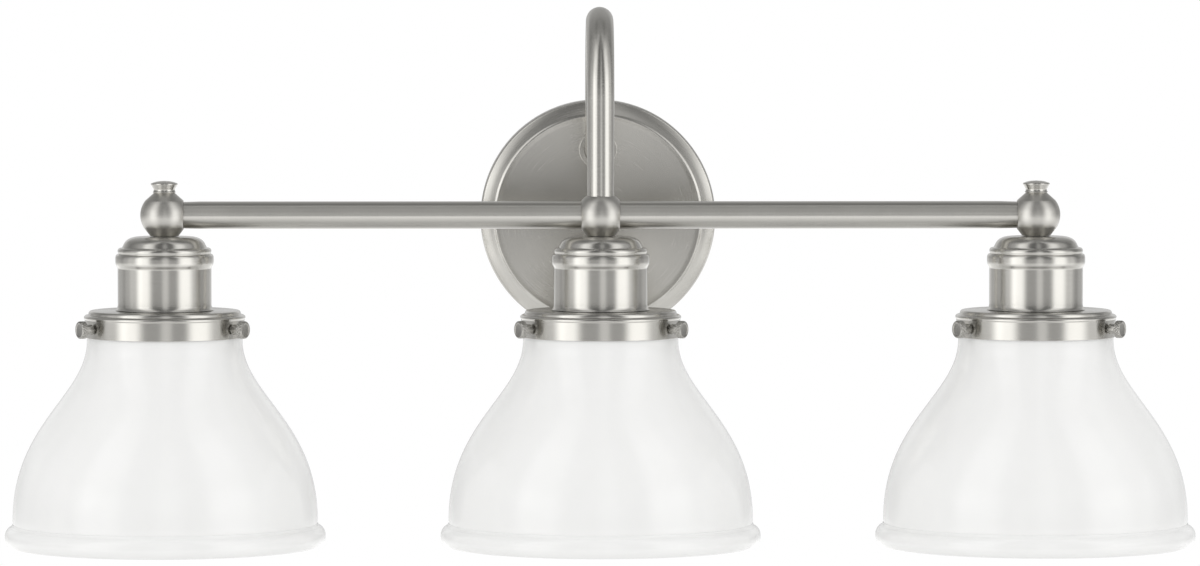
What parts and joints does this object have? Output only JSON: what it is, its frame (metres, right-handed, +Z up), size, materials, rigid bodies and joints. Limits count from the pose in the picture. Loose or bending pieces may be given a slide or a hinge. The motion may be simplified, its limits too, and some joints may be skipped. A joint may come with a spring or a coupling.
{
  "type": "vanity light bar",
  "caption": "Wall vanity light: a round plate and gooseneck arm carry a straight bar with domed sockets and bell-shaped opal glass shades that drop out of knurled-screw holders.",
  "frame": {"origin": "centre of the wall plate, on the wall plane, at the crossbar's back face", "axes": "+X along the bar, +Y into the wall, +Z up"},
  "size_m": [0.6934, 0.2267, 0.3134],
  "materials": {
    "satin_nickel": "brushed satin nickel plate, fine circular grain",
    "knurled_nickel": "knurled satin nickel",
    "zinc_steel": "zinc-plated steel",
    "shell_aluminium": "thin rolled aluminium",
    "contact_brass": "spring brass",
    "opal_glass": "opaque white opal glass, glossy",
    "glazed_porcelain": "glazed off-white porcelain",
    "lead_sleeve": "woven glass-fibre sleeve",
    "ground_green": "green insulation and green-finished screw",
    "connector_plastic": "moulded orange plastic"
  },
  "bodies": {
    "root": {"backplate_canopy": "satin_nickel", "mounting_crossbar": "zinc_steel", "crossbar_stud_left": "zinc_steel", "crossbar_stud_right": "zinc_steel", "cap_nut_left": "satin_nickel", "cap_nut_right": "satin_nickel", "ground_screw": "ground_green", "ground_lead": "ground_green", "gooseneck_arm": "satin_nickel", "arm_collar": "satin_nickel", "arm_locknut": "zinc_steel", "bar_tube_left": "satin_nickel", "bar_tube_right": "satin_nickel", "finial_left": "satin_nickel", "finial_right": "satin_nickel", "wire_connector_black": "connector_plastic", "wire_connector_white": "connector_plastic", "ball_hub_left": "satin_nickel", "socket_cover_left": "satin_nickel", "gallery_left": "satin_nickel", "lampholder_left": "glazed_porcelain", "screw_shell_left": "shell_aluminium", "centre_contact_left": "contact_brass", "nipple_left": "zinc_steel", "nipple_nut_left": "zinc_steel", "retaining_ring_left": "glazed_porcelain", "lamp_leads_left": "lead_sleeve", "ball_hub_centre": "satin_nickel", "socket_cover_centre": "satin_nickel", "gallery_centre": "satin_nickel", "lampholder_centre": "glazed_porcelain", "screw_shell_centre": "shell_aluminium", "centre_contact_centre": "contact_brass", "nipple_centre": "zinc_steel", "nipple_nut_centre": "zinc_steel", "retaining_ring_centre": "glazed_porcelain", "lamp_leads_centre": "lead_sleeve", "ball_hub_right": "satin_nickel", "socket_cover_right": "satin_nickel", "gallery_right": "satin_nickel", "lampholder_right": "glazed_porcelain", "screw_shell_right": "shell_aluminium", "centre_contact_right": "contact_brass", "nipple_right": "zinc_steel", "nipple_nut_right": "zinc_steel", "retaining_ring_right": "glazed_porcelain", "lamp_leads_right": "lead_sleeve"},
    "shade_left": {"shade_left": "opal_glass"},
    "thumbscrew_left_1": {"thumbscrew_left_1": "knurled_nickel"},
    "thumbscrew_left_2": {"thumbscrew_left_2": "knurled_nickel"},
    "thumbscrew_left_3": {"thumbscrew_left_3": "knurled_nickel"},
    "shade_centre": {"shade_centre": "opal_glass"},
    "thumbscrew_centre_1": {"thumbscrew_centre_1": "knurled_nickel"},
    "thumbscrew_centre_2": {"thumbscrew_centre_2": "knurled_nickel"},
    "thumbscrew_centre_3": {"thumbscrew_centre_3": "knurled_nickel"},
    "shade_right": {"shade_right": "opal_glass"},
    "thumbscrew_right_1": {"thumbscrew_right_1": "knurled_nickel"},
    "thumbscrew_right_2": {"thumbscrew_right_2": "knurled_nickel"},
    "thumbscrew_right_3": {"thumbscrew_right_3": "knurled_nickel"}
  },
  "joints": [
    {"name": "shade_left_drop", "type": "slide", "parent": "root", "child": "shade_left", "axis": [0, 0, -1], "range_m": [0, 0.013]},
    {"name": "thumbscrew_left_1_travel", "type": "slide", "parent": "root", "child": "thumbscrew_left_1", "axis": [0, 1, 0], "range_m": [0, 0.003]},
    {"name": "thumbscrew_left_2_travel", "type": "slide", "parent": "root", "child": "thumbscrew_left_2", "axis": [-0.866, -0.5, 0], "range_m": [0, 0.003]},
    {"name": "thumbscrew_left_3_travel", "type": "slide", "parent": "root", "child": "thumbscrew_left_3", "axis": [0.866, -0.5, 0], "range_m": [0, 0.003]},
    {"name": "shade_centre_drop", "type": "slide", "parent": "root", "child": "shade_centre", "axis": [0, 0, -1], "range_m": [0, 0.013]},
    {"name": "thumbscrew_centre_1_travel", "type": "slide", "parent": "root", "child": "thumbscrew_centre_1", "axis": [0, 1, 0], "range_m": [0, 0.003]},
    {"name": "thumbscrew_centre_2_travel", "type": "slide", "parent": "root", "child": "thumbscrew_centre_2", "axis": [-0.866, -0.5, 0], "range_m": [0, 0.003]},
    {"name": "thumbscrew_centre_3_travel", "type": "slide", "parent": "root", "child": "thumbscrew_centre_3", "axis": [0.866, -0.5, 0], "range_m": [0, 0.003]},
    {"name": "shade_right_drop", "type": "slide", "parent": "root", "child": "shade_right", "axis": [0, 0, -1], "range_m": [0, 0.013]},
    {"name": "thumbscrew_right_1_travel", "type": "slide", "parent": "root", "child": "thumbscrew_right_1", "axis": [0, 1, 0], "range_m": [0, 0.003]},
    {"name": "thumbscrew_right_2_travel", "type": "slide", "parent": "root", "child": "thumbscrew_right_2", "axis": [-0.866, -0.5, 0], "range_m": [0, 0.003]},
    {"name": "thumbscrew_right_3_travel", "type": "slide", "parent": "root", "child": "thumbscrew_right_3", "axis": [0.866, -0.5, 0], "range_m": [0, 0.003]}
  ],
  "couplings": [
    {"joint": "thumbscrew_left_1_travel", "follows": "shade_left_drop", "ratio": 0.23},
    {"joint": "thumbscrew_left_2_travel", "follows": "shade_left_drop", "ratio": 0.23},
    {"joint": "thumbscrew_left_3_travel", "follows": "shade_left_drop", "ratio": 0.23},
    {"joint": "thumbscrew_centre_1_travel", "follows": "shade_centre_drop", "ratio": 0.23},
    {"joint": "thumbscrew_centre_2_travel", "follows": "shade_centre_drop", "ratio": 0.23},
    {"joint": "thumbscrew_centre_3_travel", "follows": "shade_centre_drop", "ratio": 0.23},
    {"joint": "thumbscrew_right_1_travel", "follows": "shade_right_drop", "ratio": 0.23},
    {"joint": "thumbscrew_right_2_travel", "follows": "shade_right_drop", "ratio": 0.23},
    {"joint": "thumbscrew_right_3_travel", "follows": "shade_right_drop", "ratio": 0.23}
  ]
}
